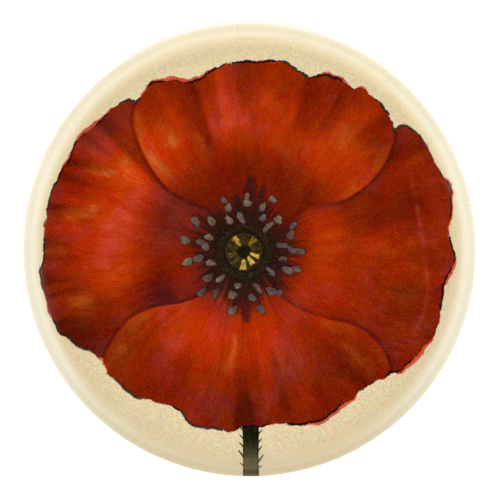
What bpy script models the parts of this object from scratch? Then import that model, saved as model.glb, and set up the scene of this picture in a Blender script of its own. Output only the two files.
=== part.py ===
"""A round decoupage plate: a clear glass dish with a flower print glued under it.

The glass is one thickness all over. It lies flat across the well, bends once and rises in a
short straight rim. The printed sheet and the backing sheet follow its underside, and four
soft bumpers hold the backing clear of the table.

Metres, +Z up. The origin is on the table, under the middle of the plate. The picture on the
print stands upright with its top towards +Y.
"""

import math

import bmesh
import bpy
from mathutils import Vector

MM = 0.001

# Driving dimensions of the glass.
PLATE_RADIUS = 73.0 * MM
GLASS_THICKNESS = 3.0 * MM
RIM_RISE = 4.6 * MM  # top of the rim above the surface of the well
RIM_SLOPE = math.radians(48.0)
WELL_FILLET = 3.0 * MM  # bend between well and rim, on the upper face
EDGE_ROUND = 1.2 * MM  # polished corners of the outer edge

# The sheets under the glass, and the clearance between stacked pieces.
LAYER_GAP = 0.3 * MM
PRINT_THICKNESS = 0.2 * MM
BACKING_THICKNESS = 0.3 * MM
PRINT_MARGIN = 0.3 * MM  # how far the print stops short of the polished corner
BACKING_MARGIN = 0.8 * MM

# The bumpers: soft domes, stuck to the backing and cut flat where they stand.
BUMPER_COUNT = 4
BUMPER_CIRCLE_RADIUS = 47.0 * MM
BUMPER_HEIGHT = 2.0 * MM
BUMPER_BASE_RADIUS = 4.75 * MM
BUMPER_FOOT_RADIUS = 2.8 * MM
BUMPER_SKIRT = 0.35 * MM  # straight side above the dome

# How finely round shapes are cut.
PLATE_SEGMENTS = 96
BUMPER_SEGMENTS = 24
BEND_STEPS = 4
CORNER_STEPS = 4
DOME_STEPS = 4

# Depths below the upper face of the glass, and the height of that face above the table.
PRINT_TOP = GLASS_THICKNESS + LAYER_GAP
PRINT_BOTTOM = PRINT_TOP + PRINT_THICKNESS
BACKING_TOP = PRINT_BOTTOM + LAYER_GAP
BACKING_BOTTOM = BACKING_TOP + BACKING_THICKNESS
WELL_HEIGHT = BUMPER_HEIGHT + LAYER_GAP + BACKING_BOTTOM

# Directions in the section: along the rim, outwards and up, and square to it, inwards and up.
ALONG_RIM = Vector((math.cos(RIM_SLOPE), math.sin(RIM_SLOPE)))
OFF_RIM = Vector((-math.sin(RIM_SLOPE), math.cos(RIM_SLOPE)))

# A rounded corner of the edge stands this share of its radius short of the sharp one.
CORNER_LOSS = math.cos(RIM_SLOPE) + math.sin(RIM_SLOPE) - 1.0
BEND_RISE = WELL_FILLET * (1.0 - math.cos(RIM_SLOPE))
RIM_LENGTH = (RIM_RISE + EDGE_ROUND * CORNER_LOSS - BEND_RISE) / math.sin(RIM_SLOPE)
WELL_RADIUS = (
    PLATE_RADIUS
    + EDGE_ROUND * CORNER_LOSS
    - GLASS_THICKNESS * math.sin(RIM_SLOPE)
    - RIM_LENGTH * math.cos(RIM_SLOPE)
    - WELL_FILLET * math.sin(RIM_SLOPE)
)


def clear_scene():
    """Removes every object that the file opened with."""
    for item in list(bpy.data.objects):
        bpy.data.objects.remove(item)


def make_material(name, colour, roughness, transmission=0.0):
    """A plain Principled material."""
    material = bpy.data.materials.new(name)
    material.use_nodes = True
    shader = material.node_tree.nodes["Principled BSDF"]
    shader.inputs["Base Color"].default_value = (*colour, 1.0)
    shader.inputs["Roughness"].default_value = roughness
    shader.inputs["Metallic"].default_value = 0.0
    shader.inputs["Transmission Weight"].default_value = transmission
    return material


def arc(centre, radius, start, end, steps):
    """Points (r, z) along an arc, both ends included. Angles are in radians from +r."""
    angles = [start + (end - start) * step / steps for step in range(steps + 1)]
    return [centre + radius * Vector((math.cos(a), math.sin(a))) for a in angles]


def dish_curve(depth, rim_length):
    """The section's line at a depth below the upper face, from the axis out to the rim's end."""
    centre = Vector((WELL_RADIUS, WELL_HEIGHT + WELL_FILLET))
    bend = arc(
        centre, WELL_FILLET + depth, -math.pi / 2, RIM_SLOPE - math.pi / 2, BEND_STEPS
    )
    end = bend[-1] + ALONG_RIM * rim_length
    return [Vector((0.0, WELL_HEIGHT - depth)), *bend, end]


def glass_outline():
    """The glass in section: upper face, rounded outer edge and underside."""
    upper = dish_curve(0.0, RIM_LENGTH - EDGE_ROUND)
    lower = dish_curve(GLASS_THICKNESS, RIM_LENGTH - EDGE_ROUND)
    upper_centre = upper[-1] - OFF_RIM * EDGE_ROUND
    lower_centre = lower[-1] + OFF_RIM * EDGE_ROUND
    upper_corner = arc(
        upper_centre, EDGE_ROUND, RIM_SLOPE + math.pi / 2, RIM_SLOPE, CORNER_STEPS
    )
    lower_corner = arc(
        lower_centre, EDGE_ROUND, RIM_SLOPE, RIM_SLOPE - math.pi / 2, CORNER_STEPS
    )
    return [*upper[:-1], *upper_corner, *lower_corner, *reversed(lower[:-1])]


def sheet_outline(top, bottom, margin):
    """A sheet in section, between two depths, ending short of the glass's polished corner."""
    rim_length = RIM_LENGTH - EDGE_ROUND - margin
    upper = dish_curve(top, rim_length)
    lower = dish_curve(bottom, rim_length)
    return [*upper, *reversed(lower)]


def bumper_outline():
    """A bumper in section: flat against the backing above, a dome cut flat at the table."""
    dome_height = BUMPER_HEIGHT - BUMPER_SKIRT
    steps = [step / DOME_STEPS for step in range(DOME_STEPS + 1)]
    bulge = BUMPER_BASE_RADIUS - BUMPER_FOOT_RADIUS
    side = [
        Vector(
            (
                BUMPER_FOOT_RADIUS + bulge * math.cos(share * math.pi / 2),
                dome_height * (1.0 - math.sin(share * math.pi / 2)),
            )
        )
        for share in steps
    ]
    return [
        Vector((0.0, BUMPER_HEIGHT)),
        Vector((BUMPER_BASE_RADIUS, BUMPER_HEIGHT)),
        *side,
        Vector((0.0, 0.0)),
    ]


def turned_mesh(name, outline, segments):
    """The closed solid made by spinning an outline (r, z) round the Z axis."""
    shape = bmesh.new()
    points = [shape.verts.new((point.x, 0.0, point.y)) for point in outline]
    edges = [shape.edges.new(pair) for pair in zip(points, points[1:])]
    bmesh.ops.spin(
        shape,
        geom=points + edges,
        axis=(0.0, 0.0, 1.0),
        cent=(0.0, 0.0, 0.0),
        angle=math.tau,
        steps=segments,
    )
    bmesh.ops.remove_doubles(shape, verts=shape.verts[:], dist=0.001 * MM)
    bmesh.ops.recalc_face_normals(shape, faces=shape.faces[:])
    mesh = bpy.data.meshes.new(name)
    shape.to_mesh(mesh)
    shape.free()
    mesh.shade_smooth()
    mesh.set_sharp_from_angle(angle=math.radians(35.0))
    return mesh


def add_piece(name, mesh, material, location=(0.0, 0.0, 0.0)):
    """Puts a mesh into the scene as one named piece."""
    piece = bpy.data.objects.new(name, mesh)
    piece.location = location
    if not mesh.materials:
        mesh.materials.append(material)
    bpy.context.scene.collection.objects.link(piece)
    return piece


def build_glass():
    """The clear dish that the print is glued under."""
    glass = make_material("clear_glass", (0.93, 0.97, 0.95), 0.02, transmission=1.0)
    mesh = turned_mesh("glass_plate", glass_outline(), PLATE_SEGMENTS)
    return add_piece("glass_plate", mesh, glass)


def build_sheets():
    """The printed sheet, face up against the glass, and the plain sheet that seals its back."""
    ink = make_material("printed_paper", (0.55, 0.07, 0.02), 0.55)
    plain = make_material("backing_paper", (0.80, 0.74, 0.62), 0.70)
    print_outline = sheet_outline(PRINT_TOP, PRINT_BOTTOM, PRINT_MARGIN)
    backing_outline = sheet_outline(BACKING_TOP, BACKING_BOTTOM, BACKING_MARGIN)
    print_mesh = turned_mesh("print_sheet", print_outline, PLATE_SEGMENTS)
    backing_mesh = turned_mesh("backing_sheet", backing_outline, PLATE_SEGMENTS)
    add_piece("print_sheet", print_mesh, ink)
    add_piece("backing_sheet", backing_mesh, plain)


def build_bumpers():
    """The bumpers, evenly round a circle, starting half a step from +X."""
    soft = make_material("soft_clear_rubber", (0.86, 0.87, 0.84), 0.35)
    mesh = turned_mesh("bumper", bumper_outline(), BUMPER_SEGMENTS)
    step = math.tau / BUMPER_COUNT
    for number in range(BUMPER_COUNT):
        angle = step * (number + 0.5)
        x = BUMPER_CIRCLE_RADIUS * math.cos(angle)
        y = BUMPER_CIRCLE_RADIUS * math.sin(angle)
        add_piece(f"bumper_{number + 1}", mesh, soft, (x, y, 0.0))


def main():
    """Builds the whole plate."""
    clear_scene()
    build_glass()
    build_sheets()
    build_bumpers()


main()
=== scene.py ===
"""Looks of a decoupage glass plate: clear dish, botanical print, backing sheet and bumpers.

The glass and both sheets are turned by one Geometry Nodes lathe, which bends a flat section
along the dish and spins it. The print is drawn from the outlines of four petals: distances to
them and tones inside them are worked out at the sheet's points, and the paper's material inks
and colours them.

Metres, +Z up, +Y towards the top of the picture. Sizes of the drawing are in millimetres.
"""

from __future__ import annotations

import logging
import math
from collections.abc import Mapping, Sequence
from dataclasses import dataclass, field
from enum import Enum

import bmesh
import bpy
import numpy as np
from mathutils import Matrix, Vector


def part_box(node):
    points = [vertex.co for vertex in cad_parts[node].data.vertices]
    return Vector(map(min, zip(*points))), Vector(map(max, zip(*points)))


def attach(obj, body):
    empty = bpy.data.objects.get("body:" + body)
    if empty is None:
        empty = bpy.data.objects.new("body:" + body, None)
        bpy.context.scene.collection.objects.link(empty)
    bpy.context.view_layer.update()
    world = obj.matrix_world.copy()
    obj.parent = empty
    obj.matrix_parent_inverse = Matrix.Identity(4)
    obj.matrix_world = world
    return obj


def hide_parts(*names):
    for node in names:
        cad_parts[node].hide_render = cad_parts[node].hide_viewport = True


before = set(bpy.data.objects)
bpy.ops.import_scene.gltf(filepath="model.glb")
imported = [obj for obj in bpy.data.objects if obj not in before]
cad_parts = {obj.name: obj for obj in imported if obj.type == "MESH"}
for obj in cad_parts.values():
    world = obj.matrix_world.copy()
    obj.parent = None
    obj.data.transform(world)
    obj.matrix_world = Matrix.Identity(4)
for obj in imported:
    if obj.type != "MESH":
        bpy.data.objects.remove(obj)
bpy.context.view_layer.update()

LOG = logging.getLogger("plate")
MM = 0.001
BODY = "root"

Point = tuple[float, float]
Colour = tuple[float, float, float, float]


def paint(red: int, green: int, blue: int) -> Colour:
    """Turns a screen colour into the linear one that shaders mix.

    Args:
        red: Red from 0 to 255.
        green: Green from 0 to 255.
        blue: Blue from 0 to 255.

    Returns:
        Linear red, green, blue and a full alpha.
    """

    def linear(level: int) -> float:
        """One channel, from the screen's curve to a straight one."""
        share = level / 255.0
        return share / 12.92 if share <= 0.04045 else ((share + 0.055) / 1.055) ** 2.4

    return (linear(red), linear(green), linear(blue), 1.0)


# ------------------------------------------------------------------ node trees


class Signal:
    """A value on its way through a node tree. Arithmetic on it adds Math nodes."""

    def __init__(self, graph: Graph, socket: bpy.types.NodeSocket) -> None:
        """Keeps the tree's graph and the socket that carries the value."""
        self.graph = graph
        self.socket = socket

    def output(self, name: str) -> Signal:
        """Another output of the node that this value comes from."""
        return Signal(self.graph, find_socket(self.socket.node.outputs, name))

    def __add__(self, other: Signal | float) -> Signal:
        """This plus other."""
        return self.graph.math("ADD", self, other)

    def __radd__(self, other: float) -> Signal:
        """Other plus this."""
        return self.graph.math("ADD", other, self)

    def __sub__(self, other: Signal | float) -> Signal:
        """This minus other."""
        return self.graph.math("SUBTRACT", self, other)

    def __rsub__(self, other: float) -> Signal:
        """Other minus this."""
        return self.graph.math("SUBTRACT", other, self)

    def __mul__(self, other: Signal | float) -> Signal:
        """This times other."""
        return self.graph.math("MULTIPLY", self, other)

    def __rmul__(self, other: float) -> Signal:
        """Other times this."""
        return self.graph.math("MULTIPLY", other, self)

    def __truediv__(self, other: Signal | float) -> Signal:
        """This over other."""
        return self.graph.math("DIVIDE", self, other)

    def __neg__(self) -> Signal:
        """This with its sign turned."""
        return self.graph.math("MULTIPLY", self, -1.0)

    def __abs__(self) -> Signal:
        """This without its sign."""
        return self.graph.math("ABSOLUTE", self)


def find_socket(sockets: Sequence[bpy.types.NodeSocket], key: str | int) -> bpy.types.NodeSocket:
    """Picks one of a node's sockets.

    Args:
        sockets: The node's inputs or outputs.
        key: A place in the row, an identifier or a name.

    Returns:
        The socket with that place, else with that identifier, else with that name.
    """
    if isinstance(key, int):
        return sockets[key]
    by_identifier = [s for s in sockets if s.identifier == key]
    return by_identifier[0] if by_identifier else next(s for s in sockets if s.name == key)


class Graph:
    """A node tree, and the one way that nodes are put into it."""

    def __init__(self, tree: bpy.types.NodeTree) -> None:
        """Keeps the tree."""
        self.tree = tree

    def add(
        self,
        kind: str,
        settings: Mapping[str, object] | None = None,
        inputs: Mapping[str | int, object] | None = None,
        output: str | int = 0,
    ) -> Signal:
        """Puts one node into the tree.

        Args:
            kind: The node's type.
            settings: Its settings, which are set first. "stops" fills a colour ramp.
            inputs: Values or signals for its input sockets.
            output: The output to hand back.

        Returns:
            The signal that leaves by that output.
        """
        node = self.tree.nodes.new(kind)
        for name, value in (settings or {}).items():
            if name == "stops":
                self._fill_ramp(node.color_ramp, value)
            else:
                setattr(node, name, value)
        for key, value in (inputs or {}).items():
            self.feed(find_socket(node.inputs, key), value)
        return Signal(self, find_socket(node.outputs, output) if node.outputs else None)

    @staticmethod
    def _fill_ramp(ramp: bpy.types.ColorRamp, stops: Sequence[tuple[float, Colour]]) -> None:
        """Gives a colour ramp its stops.

        Args:
            ramp: The ramp to fill.
            stops: Places from 0 to 1 with their colours, in rising order.
        """
        while len(ramp.elements) > 1:
            ramp.elements.remove(ramp.elements[-1])
        ramp.elements[0].position, ramp.elements[0].color = stops[0]
        for place, colour in stops[1:]:
            ramp.elements.new(place).color = colour

    def feed(self, socket: bpy.types.NodeSocket, value: object) -> None:
        """Links a signal to a socket, or sets the socket's own value."""
        if isinstance(value, Signal):
            self.tree.links.new(value.socket, socket)
        else:
            socket.default_value = value

    def math(self, operation: str, *values: Signal | float) -> Signal:
        """One Math node on up to three values."""
        return self.add("ShaderNodeMath", {"operation": operation}, dict(enumerate(values)))

    def vector(self, operation: str, *values: object, output: str = "Vector") -> Signal:
        """One Vector Math node; a last plain number is the scale of SCALE."""
        if operation == "SCALE":
            inputs: dict[str | int, object] = {0: values[0], "Scale": values[1]}
        else:
            inputs = dict(enumerate(values))
        return self.add("ShaderNodeVectorMath", {"operation": operation}, inputs, output)

    def pack(self, x: Signal | float, y: Signal | float, z: Signal | float) -> Signal:
        """A vector from its three parts."""
        return self.add("ShaderNodeCombineXYZ", None, {0: x, 1: y, 2: z})

    def smooth(
        self, value: Signal, low: float, high: float, start: float = 0.0, end: float = 1.0
    ) -> Signal:
        """Eases from one level to another.

        Args:
            value: What is read.
            low: Where the ease begins.
            high: Where it is over.
            start: The level up to low.
            end: The level from high on.

        Returns:
            The eased level.
        """
        settings = {"interpolation_type": "SMOOTHSTEP", "clamp": True}
        levels = {"From Min": low, "From Max": high, "To Min": start, "To Max": end}
        return self.add("ShaderNodeMapRange", settings, {"Value": value, **levels}, "Result")

    def either(self, first: Signal | float, second: Signal | float) -> Signal:
        """The greater of two values."""
        return self.math("MAXIMUM", first, second)

    def both(self, first: Signal | float, second: Signal | float) -> Signal:
        """The lesser of two values."""
        return self.math("MINIMUM", first, second)

    def noise(self, place: Signal, scale: float, detail: float = 2.0, rough: float = 0.5) -> Signal:
        """Noise about zero.

        Args:
            place: Where it is read.
            scale: Waves per unit of place.
            detail: How many finer layers it has.
            rough: How strong each finer layer is.

        Returns:
            Noise from about -0.5 to 0.5.
        """
        inputs = {"Vector": place, "Scale": scale, "Detail": detail, "Roughness": rough}
        return self.add("ShaderNodeTexNoise", None, inputs) - 0.5

    def blend(self, share: Signal | float, first: object, second: object, way: str = "MIX") -> Signal:
        """Mixes two colours.

        Args:
            share: How much of the second.
            first: The colour beneath.
            second: The colour laid over it.
            way: The Mix node's blend type.

        Returns:
            The mixed colour.
        """
        settings = {"data_type": "RGBA", "blend_type": way, "clamp_factor": True}
        inputs = {"Factor_Float": share, "A_Color": first, "B_Color": second}
        return self.add("ShaderNodeMix", settings, inputs, "Result_Color")

    def ramp(self, value: Signal, stops: Sequence[tuple[float, Colour]]) -> Signal:
        """A colour read from a ramp."""
        return self.add("ShaderNodeValToRGB", {"stops": stops}, {0: value}, "Color")

    def attribute(self, name: str) -> Signal:
        """A number kept at the mesh's points."""
        return self.add("ShaderNodeAttribute", {"attribute_name": name}, None, "Fac")

    def place(self) -> Signal:
        """Where a point of the piece lies, in millimetres."""
        spot = self.add("ShaderNodeTexCoord", None, None, "Object")
        return self.vector("SCALE", spot, 1.0 / MM)

    def bump(self, height: Signal, distance: float, strength: float = 1.0) -> Signal:
        """A normal from a height.

        Args:
            height: The height, about 0 to 1.
            distance: What 1 of it is worth, in metres.
            strength: How much of it is used.

        Returns:
            The normal.
        """
        inputs = {"Strength": strength, "Distance": distance, "Height": height}
        return self.add("ShaderNodeBump", None, inputs, "Normal")


def new_material(name: str) -> tuple[bpy.types.Material, Graph]:
    """Makes an empty material.

    Args:
        name: The material's name.

    Returns:
        The material and the graph of its node tree.
    """
    material = bpy.data.materials.new(name)
    material.use_nodes = True
    material.node_tree.nodes.clear()
    return material, Graph(material.node_tree)


def close_material(graph: Graph, surface: Signal) -> None:
    """Gives a material its surface."""
    graph.add("ShaderNodeOutputMaterial", None, {"Surface": surface})


# ------------------------------------------------------------------ the dish and its lathe


@dataclass(frozen=True)
class Dish:
    """The line that the glass and both sheets follow, from the axis out to the rim.

    A point is given by its reach, the way along the upper face from the axis, and its depth
    square below that face.

    Attributes:
        plate_radius: Radius of the outermost edge.
        rim_top: Height of the rim's top.
        underside: Height of the glass's underside, under the well.
        glass_thickness: Thickness of the glass, the same all over.
        slope: How steeply the rim rises.
        bend_radius: Radius of the bend into the rim, on the upper face.
        edge_round: Radius of the edge's polished corners.
    """

    plate_radius: float
    rim_top: float
    underside: float
    glass_thickness: float = 3.0 * MM
    slope: float = math.radians(48.0)
    bend_radius: float = 3.0 * MM
    edge_round: float = 1.2 * MM

    @classmethod
    def from_frame(cls) -> Dish:
        """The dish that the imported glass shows."""
        low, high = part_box("glass_plate")
        return cls(plate_radius=high.x, rim_top=high.z, underside=low.z)

    @property
    def well_height(self) -> float:
        """Height of the well's upper face."""
        return self.underside + self.glass_thickness

    @property
    def corner_loss(self) -> float:
        """How far short of its sharp corner a rounded one stands, as a share of its radius."""
        return math.cos(self.slope) + math.sin(self.slope) - 1.0

    @property
    def rim_length(self) -> float:
        """Length of the rim's straight slope, its rounded edge included."""
        bend_rise = self.bend_radius * (1.0 - math.cos(self.slope))
        rise = self.rim_top - self.well_height + self.edge_round * self.corner_loss
        return (rise - bend_rise) / math.sin(self.slope)

    @property
    def well_radius(self) -> float:
        """Radius of the flat of the well."""
        across = (self.glass_thickness + self.bend_radius) * math.sin(self.slope)
        along = self.rim_length * math.cos(self.slope)
        return self.plate_radius + self.edge_round * self.corner_loss - across - along

    @property
    def bend_length(self) -> float:
        """Length of the bend, along the upper face."""
        return self.bend_radius * self.slope

    @property
    def full_reach(self) -> float:
        """Reach of the glass's outermost edge."""
        return self.well_radius + self.bend_length + self.rim_length


def stepped(start: float, end: float, step: float) -> list[float]:
    """Even steps from start up to but without end.

    Args:
        start: The first value.
        end: Where the next stretch begins.
        step: About how long a step is.

    Returns:
        The values.
    """
    count = max(1, round(abs(end - start) / step))
    return [start + (end - start) * number / count for number in range(count)]


def quarter(centre: Point, radius: float, start: float, steps: int) -> list[Point]:
    """A quarter turn of an arc, clockwise.

    Args:
        centre: The arc's centre, as reach and height over the upper face.
        radius: The arc's radius.
        start: Where it begins, in radians from outwards.
        steps: How many pieces it is cut into.

    Returns:
        The arc's points as reach and depth, both ends included.
    """
    angles = [start - math.pi / 2 * step / steps for step in range(steps + 1)]
    return [
        (centre[0] + radius * math.cos(angle), -(centre[1] + radius * math.sin(angle)))
        for angle in angles
    ]


class Lathe:
    """The Geometry Nodes tree that bends a section along a dish and spins it."""

    def __init__(self) -> None:
        """Builds the tree once for all the turned pieces."""
        self.tree = bpy.data.node_groups.new("turned_dish", "GeometryNodeTree")
        sockets = {
            "Section": ("NodeSocketGeometry", "INPUT"),
            "Spokes": ("NodeSocketInt", "INPUT"),
            "Well Radius": ("NodeSocketFloat", "INPUT"),
            "Well Height": ("NodeSocketFloat", "INPUT"),
            "Bend Radius": ("NodeSocketFloat", "INPUT"),
            "Slope": ("NodeSocketFloat", "INPUT"),
            "Finish": ("NodeSocketMaterial", "INPUT"),
            "Turned": ("NodeSocketGeometry", "OUTPUT"),
        }
        self.keys = {
            name: self.tree.interface.new_socket(name, in_out=way, socket_type=kind).identifier
            for name, (kind, way) in sockets.items()
        }
        self._build(Graph(self.tree))

    def _build(self, graph: Graph) -> None:
        """Wires the tree.

        Args:
            graph: The graph of the empty tree.
        """
        given = graph.add("NodeGroupInput")
        section = given.output("Section")
        rows = graph.add("GeometryNodeAttributeDomainSize", {"component": "MESH"}, {0: section})
        sides = {"Size X": 1.0, "Size Y": 1.0}
        counts = {"Vertices X": given.output("Spokes") + 1.0, "Vertices Y": rows}
        grid = graph.add("GeometryNodeMeshGrid", None, {**sides, **counts})
        spot = graph.add("ShaderNodeSeparateXYZ", None, {0: graph.add("GeometryNodeInputPosition")})
        turn = (spot + 0.5) * math.tau
        row = graph.math("ROUND", (spot.output("Y") + 0.5) * (rows - 1.0))
        sampled = graph.add(
            "GeometryNodeSampleIndex",
            {"data_type": "FLOAT_VECTOR", "domain": "POINT"},
            {"Geometry": section, "Value": graph.add("GeometryNodeInputPosition"), "Index": row},
        )
        parts = graph.add("ShaderNodeSeparateXYZ", None, {0: sampled})
        reach, depth = parts, -parts.output("Z")
        well, bend = given.output("Well Radius"), given.output("Bend Radius")
        slope = given.output("Slope")
        over = graph.either(reach - well, 0.0)
        angle = graph.both(over / bend, slope)
        straight = graph.either(over - bend * slope, 0.0)
        sine, cosine = graph.math("SINE", angle), graph.math("COSINE", angle)
        radius = graph.both(reach, well) + (bend + depth) * sine
        radius = radius + straight * graph.math("COSINE", slope)
        height = given.output("Well Height") + bend - (bend + depth) * cosine
        height = height + straight * graph.math("SINE", slope)
        place = graph.pack(
            radius * graph.math("COSINE", turn), radius * graph.math("SINE", turn), height
        )
        kept = grid
        for name, value in (("reach", reach), ("depth", depth)):
            kept = graph.add(
                "GeometryNodeStoreNamedAttribute",
                {"data_type": "FLOAT", "domain": "POINT"},
                {"Geometry": kept, "Name": name, "Value": value},
            )
        turned = graph.add("GeometryNodeSetPosition", None, {"Geometry": kept, "Position": place})
        closed = graph.add("GeometryNodeMergeByDistance", None, {0: turned, "Distance": 0.0005 * MM})
        smooth = graph.add("GeometryNodeSetShadeSmooth", None, {0: closed})
        solid = graph.add("GeometryNodeRealizeInstances", None, {0: smooth})
        finish = {0: solid, "Material": given.output("Finish")}
        graph.add("NodeGroupOutput", None, {0: graph.add("GeometryNodeSetMaterial", None, finish)})

    def turn(
        self,
        name: str,
        section: Sequence[Point],
        spokes: int,
        finish: bpy.types.Material,
        dish: Dish | None = None,
    ) -> bpy.types.Object:
        """Turns one piece.

        Args:
            name: The piece's name.
            section: Reach and depth of each point of the section, axis to axis.
            spokes: How many times round the section is set.
            finish: The piece's material.
            dish: The dish that it follows, or none for a piece that lies flat.

        Returns:
            The piece, as a plain closed mesh at the origin.
        """
        line = bpy.data.meshes.new(f"{name}_section")
        points = [(reach, 0.0, -depth) for reach, depth in section]
        line.from_pydata(points, [(i, i + 1) for i in range(len(points) - 1)], [])
        holder = bpy.data.objects.new(f"{name}_section", line)
        flat = {"Well Radius": 1.0, "Well Height": 0.0, "Bend Radius": MM, "Slope": 0.0}
        bent = {
            "Well Radius": dish.well_radius,
            "Well Height": dish.well_height,
            "Bend Radius": dish.bend_radius,
            "Slope": dish.slope,
        } if dish else flat
        return run_tree(holder, name, self.tree, self.keys, {"Spokes": spokes, "Finish": finish, **bent})


def run_tree(
    holder: bpy.types.Object,
    name: str,
    tree: bpy.types.NodeTree,
    keys: Mapping[str, str],
    values: Mapping[str, object],
) -> bpy.types.Object:
    """Runs a Geometry Nodes tree on an object and keeps the result as a plain mesh.

    Args:
        holder: The object that the tree starts from. It is removed again.
        name: The new piece's name.
        tree: The Geometry Nodes tree.
        keys: The identifier of each named input.
        values: What each input is set to.

    Returns:
        The new piece, with its faces turned outwards.
    """
    bpy.context.scene.collection.objects.link(holder)
    modifier = holder.modifiers.new("shape", "NODES")
    modifier.node_group = tree
    for key, value in values.items():
        modifier[keys[key]] = value
    evaluated = holder.evaluated_get(bpy.context.evaluated_depsgraph_get())
    mesh = bpy.data.meshes.new_from_object(evaluated)
    bpy.data.objects.remove(holder)
    mesh.name = name
    shape = bmesh.new()
    shape.from_mesh(mesh)
    bmesh.ops.recalc_face_normals(shape, faces=shape.faces[:])
    shape.to_mesh(mesh)
    shape.free()
    mesh.set_sharp_from_angle(angle=math.radians(38.0))
    piece = bpy.data.objects.new(name, mesh)
    bpy.context.scene.collection.objects.link(piece)
    return piece


def settle(piece: bpy.types.Object, slot: str, *nodes: str) -> None:
    """Hangs a piece on the plate's body, hides the CAD nodes that it stands for and logs its size.

    Args:
        piece: The finished piece.
        slot: The record's material slot. Not used.
        nodes: The CAD nodes that it stands for.
    """
    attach(piece, BODY)
    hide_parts(*nodes)
    LOG.info("%s: %d faces", piece.name, len(piece.data.polygons))


# ------------------------------------------------------------------ the drawing


def eased(value: np.ndarray, low: float, high: float) -> np.ndarray:
    """Smooth step from 0 at low to 1 at high."""
    share = np.clip((value - low) / (high - low), 0.0, 1.0)
    return share * share * (3.0 - 2.0 * share)


def closed_curve(points: np.ndarray, steps: int) -> np.ndarray:
    """A smooth closed curve through points.

    Args:
        points: The points, one row each.
        steps: Pieces between one point and the next.

    Returns:
        The curve's points, without a repeated last one.
    """
    before, after, beyond = (np.roll(points, shift, axis=0) for shift in (1, -1, -2))
    curve = []
    for share in np.arange(steps) / steps:
        square, cube = share * share, share**3
        curve.append(
            0.5
            * (
                2.0 * points
                + (after - before) * share
                + (2.0 * before - 5.0 * points + 4.0 * after - beyond) * square
                + (3.0 * points - before - 3.0 * after + beyond) * cube
            )
        )
    return np.stack(curve, axis=1).reshape(-1, 2)


def inside_distance(x: np.ndarray, y: np.ndarray, outline: np.ndarray) -> np.ndarray:
    """Distance to a closed outline, positive inside it.

    Args:
        x: Where the points lie, across.
        y: Where the points lie, up.
        outline: The outline's points.

    Returns:
        The distance at each point.
    """
    nearest = np.full(x.shape, np.inf)
    within = np.zeros(x.shape, bool)
    for (ax, ay), (bx, by) in zip(outline, np.roll(outline, -1, axis=0)):
        dx, dy = bx - ax, by - ay
        share = np.clip(((x - ax) * dx + (y - ay) * dy) / (dx * dx + dy * dy + 1e-12), 0.0, 1.0)
        gap = (x - ax - share * dx) ** 2 + (y - ay - share * dy) ** 2
        nearest = np.minimum(nearest, gap)
        if ay != by:
            crosses = (ay > y) != (by > y)
            within ^= crosses & (x < ax + (y - ay) * dx / dy)
    return np.where(within, 1.0, -1.0) * np.sqrt(nearest)


FOLD_FADE = 9.0  # stretch over which a fold begins and ends
FOLD_PIVOT = 62.0  # radius at which a leaning fold stands at its own angle
CREST_FADE = 12.0  # degrees over which a crest begins and ends


@dataclass(frozen=True)
class Fold:
    """A soft pleat that runs in from a petal's margin: a dark groove or a light ridge.

    Attributes:
        angle: Where it meets the margin, in degrees round the flower.
        width: Half its width, in millimetres.
        start: How far from the flower's centre it begins.
        tone: How much lighter, or darker if negative, it makes the petal.
        lean: Degrees that it turns for each millimetre further in.
        end: Where it is over again.
        side: The side on which it breaks off short, 1 or -1, or 0 for neither.
    """

    angle: float
    width: float
    start: float
    tone: float
    lean: float = 0.0
    end: float = 90.0
    side: int = 0

    def at(self, angle: np.ndarray, radius: np.ndarray) -> np.ndarray:
        """The change of tone that it makes at points given by angle and radius."""
        turned = np.radians(angle - self.angle - self.lean * (FOLD_PIVOT - radius))
        across = radius * np.sin(turned)
        ahead = np.cos(turned) > 0.0
        begun = eased(radius, self.start, self.start + FOLD_FADE)
        along = begun * (1.0 - eased(radius, self.end - FOLD_FADE, self.end))
        width = self.width * np.where(across * self.side > 0.0, 0.3, 1.0 + 0.25 * abs(self.side))
        return self.tone * ahead * along * np.exp(-((across / width) ** 2))


@dataclass(frozen=True)
class Ridge:
    """A thin light crest that runs along a petal, inside its margin.

    Attributes:
        line: Angles that it runs through, upwards, each with its distance from the centre.
        width: Half its width.
        tone: How much lighter it makes the petal.
    """

    line: tuple[Point, ...]
    width: float
    tone: float

    def at(self, angle: np.ndarray, radius: np.ndarray) -> np.ndarray:
        """The change of tone that it makes at points given by angle and radius."""
        turns, reaches = zip(*self.line)
        across = (radius - np.interp(angle, turns, reaches)) / self.width
        begun = eased(angle, turns[0], turns[0] + CREST_FADE)
        along = begun * (1.0 - eased(angle, turns[-1] - CREST_FADE, turns[-1]))
        hollow = 0.4 * np.exp(-((across + 4.0) ** 2) / 8.0)
        return self.tone * along * (np.exp(-(across**2)) - hollow)


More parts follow.
